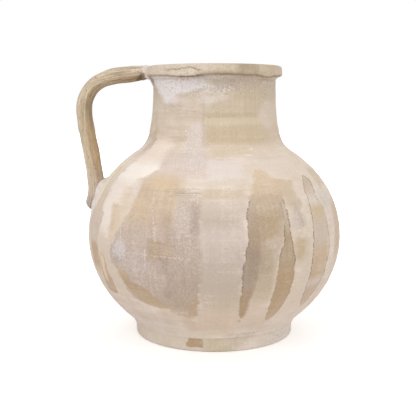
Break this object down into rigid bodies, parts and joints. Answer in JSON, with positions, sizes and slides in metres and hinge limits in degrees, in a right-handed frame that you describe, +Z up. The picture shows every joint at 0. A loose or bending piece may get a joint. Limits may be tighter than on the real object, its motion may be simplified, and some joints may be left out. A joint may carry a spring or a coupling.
{
  "type": "clay vase",
  "caption": "Round-bellied clay vase with a wide upright neck, a rolled rim, a low foot and a loop handle from rim to belly.",
  "frame": {"origin": "on the vase's upright axis, in the middle of the foot's flat underside", "axes": "+Z up along the axis towards the mouth; the handle is at -X, in the XZ plane; +Y points away from the pictured side"},
  "size_m": [0.2973, 0.2848, 0.301],
  "materials": {
    "foot_clay": "matt pale cream-grey clay, unglazed and dusty",
    "body_clay": "matt clay under a thin pale slip, with runs of brown wash",
    "neck_clay": "matt olive-tan clay with chalky lilac patches",
    "rim_clay": "matt tan clay, speckled",
    "handle_clay": "matt tan clay, grained along its length",
    "luting_clay": "matt chalky clay, smeared",
    "inside_clay": "matt bare clay"
  },
  "bodies": {
    "root": {"foot_disc": "foot_clay", "floor_coil": "inside_clay", "lower_belly": "body_clay", "seam_coil": "inside_clay", "upper_belly": "body_clay", "neck": "neck_clay", "rim_coil": "rim_clay", "handle": "handle_clay", "handle_rim_luting": "luting_clay", "handle_belly_luting": "luting_clay"}
  },
  "joints": []
}
